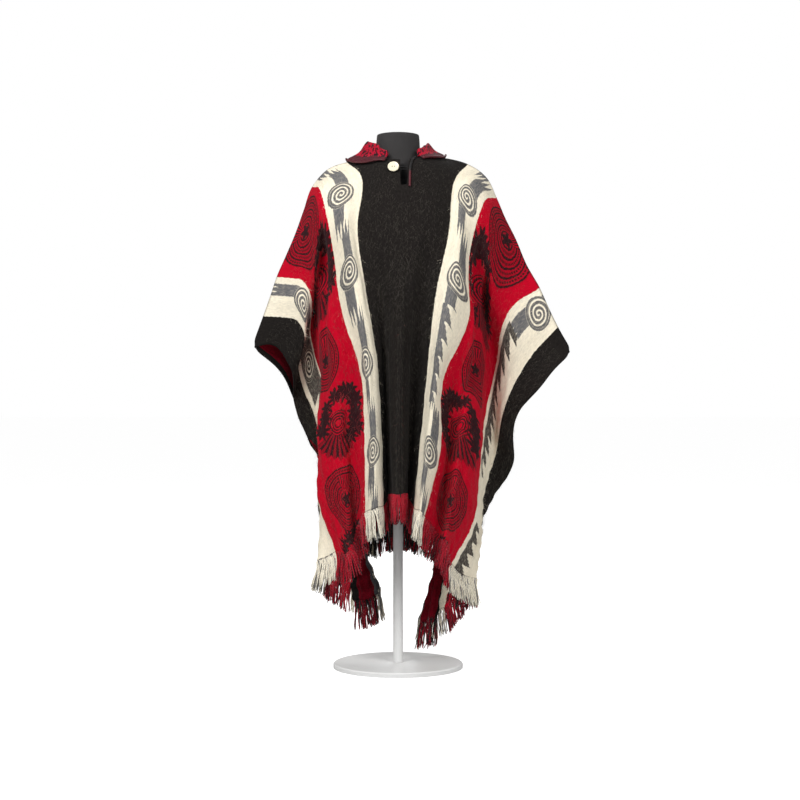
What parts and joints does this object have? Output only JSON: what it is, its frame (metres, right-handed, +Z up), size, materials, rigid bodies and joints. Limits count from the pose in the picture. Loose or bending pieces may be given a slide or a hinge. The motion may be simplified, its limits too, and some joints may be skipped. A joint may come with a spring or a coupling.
{
  "type": "fringed andean poncho on a dress form stand",
  "caption": "Striped brushed-alpaca poncho with knit collar, buttoned neck slit and fringed hems, draped in soft folds over a limbless dress form on a round-based stand.",
  "frame": {"origin": "centre of the stand base's underside, on the floor, below the form's neck", "axes": "+Z up, +X to the right of someone who looks at the poncho's front, +Y from its front to its back"},
  "size_m": [0.8219, 0.4405, 1.355],
  "materials": {
    "woven_alpaca": "brushed double cloth in black, cream and red stripes, with woven grey and dark motifs",
    "collar_knit": "red and black knit",
    "binding_cord": "rolled black wool edge",
    "cream_button": "satin",
    "loop_cord": "thin twisted cord",
    "fringe_yarn": "loose alpaca yarn, coloured as the stripe above it",
    "form_cover": "smooth charcoal jersey",
    "stand_metal": "satin black"
  },
  "bodies": {
    "root": {"poncho_front": "woven_alpaca", "poncho_back": "woven_alpaca", "collar": "collar_knit", "collar_binding": "binding_cord", "slit_binding": "binding_cord", "button": "cream_button", "button_loop": "loop_cord", "fringe_front": "fringe_yarn", "fringe_back": "fringe_yarn", "dress_form": "form_cover", "stand_pole": "stand_metal", "stand_base": "stand_metal"}
  },
  "joints": []
}
